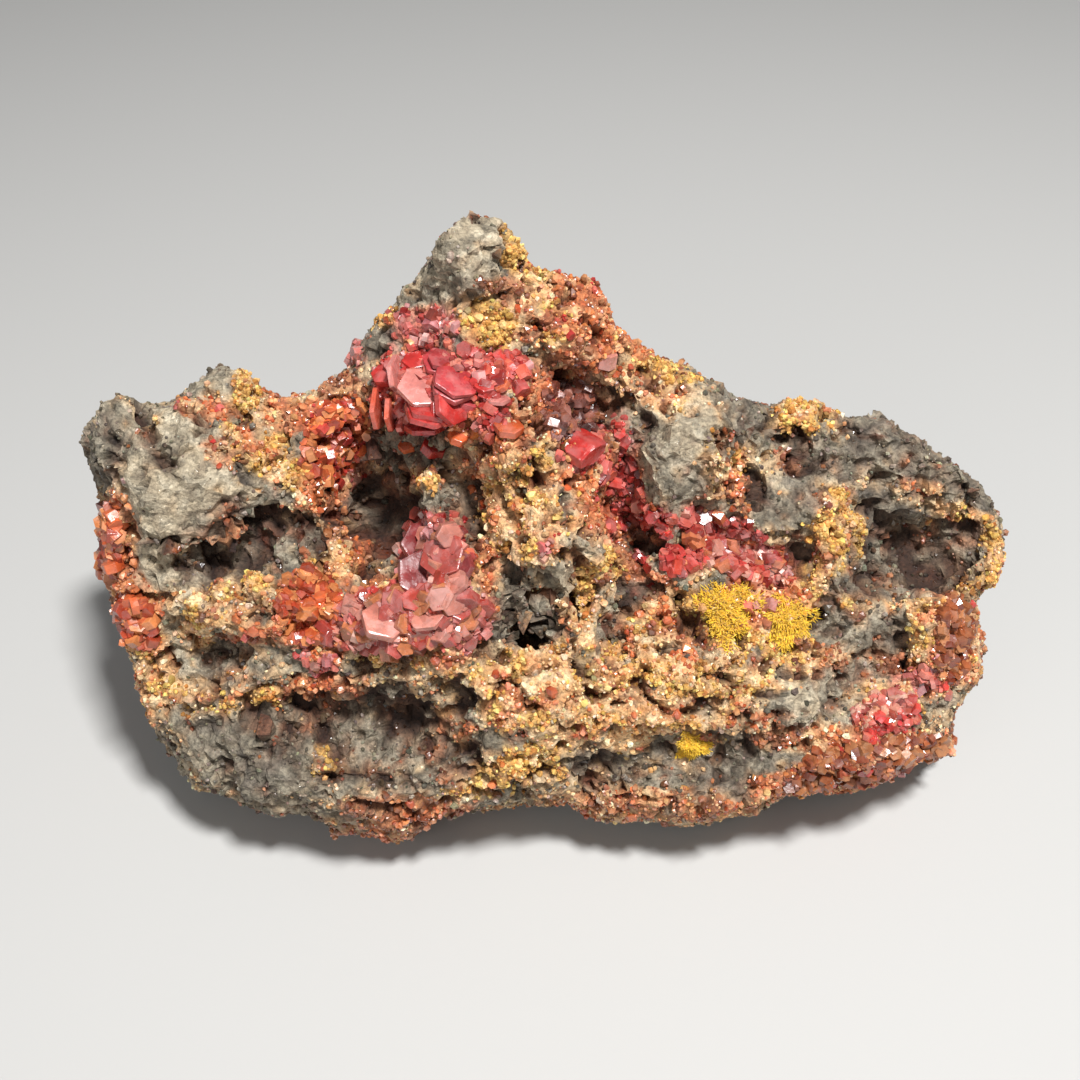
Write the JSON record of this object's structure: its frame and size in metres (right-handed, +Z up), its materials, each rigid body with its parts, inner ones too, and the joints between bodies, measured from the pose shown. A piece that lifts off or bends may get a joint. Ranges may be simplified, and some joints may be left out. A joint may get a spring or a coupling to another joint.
{
  "type": "vanadinite on matrix mineral specimen",
  "caption": "Rough chunk of ore matrix with groups of red hexagonal vanadinite crystals, orange druses and small yellow tufts in its hollows and on its ledges.",
  "frame": {"origin": "under the middle of the specimen's bounding box, on the surface that it rests on", "axes": "+X along the specimen's width, to the right of someone who looks at the display face; +Y away from that person; +Z up"},
  "size_m": [0.1221, 0.0601, 0.0781],
  "materials": {
    "ore_rock": "rough broken ore matrix, grey to tan with iron stains",
    "red_crystal": "glossy vanadinite, resinous to adamantine",
    "pink_crystal": "satin vanadinite with a dull bloom",
    "orange_crystal": "glossy orange-red vanadinite",
    "yellow_tuft": "matte fibrous yellow tuft"
  },
  "bodies": {
    "root": {"matrix_rock": "ore_rock", "red_crystals": "red_crystal", "barrel_crystal": "red_crystal", "cleft_crystals": "red_crystal", "hollow_crystals": "red_crystal", "shoulder_crystals": "red_crystal", "pink_crystals": "pink_crystal", "cave_wall_crystals": "orange_crystal", "ledge_crystals": "orange_crystal", "left_edge_crystals": "orange_crystal", "left_low_crystals": "orange_crystal", "right_edge_crystals": "orange_crystal", "low_right_crystals": "orange_crystal", "left_tuft": "yellow_tuft", "right_tuft": "yellow_tuft", "low_tuft": "yellow_tuft"}
  },
  "joints": []
}
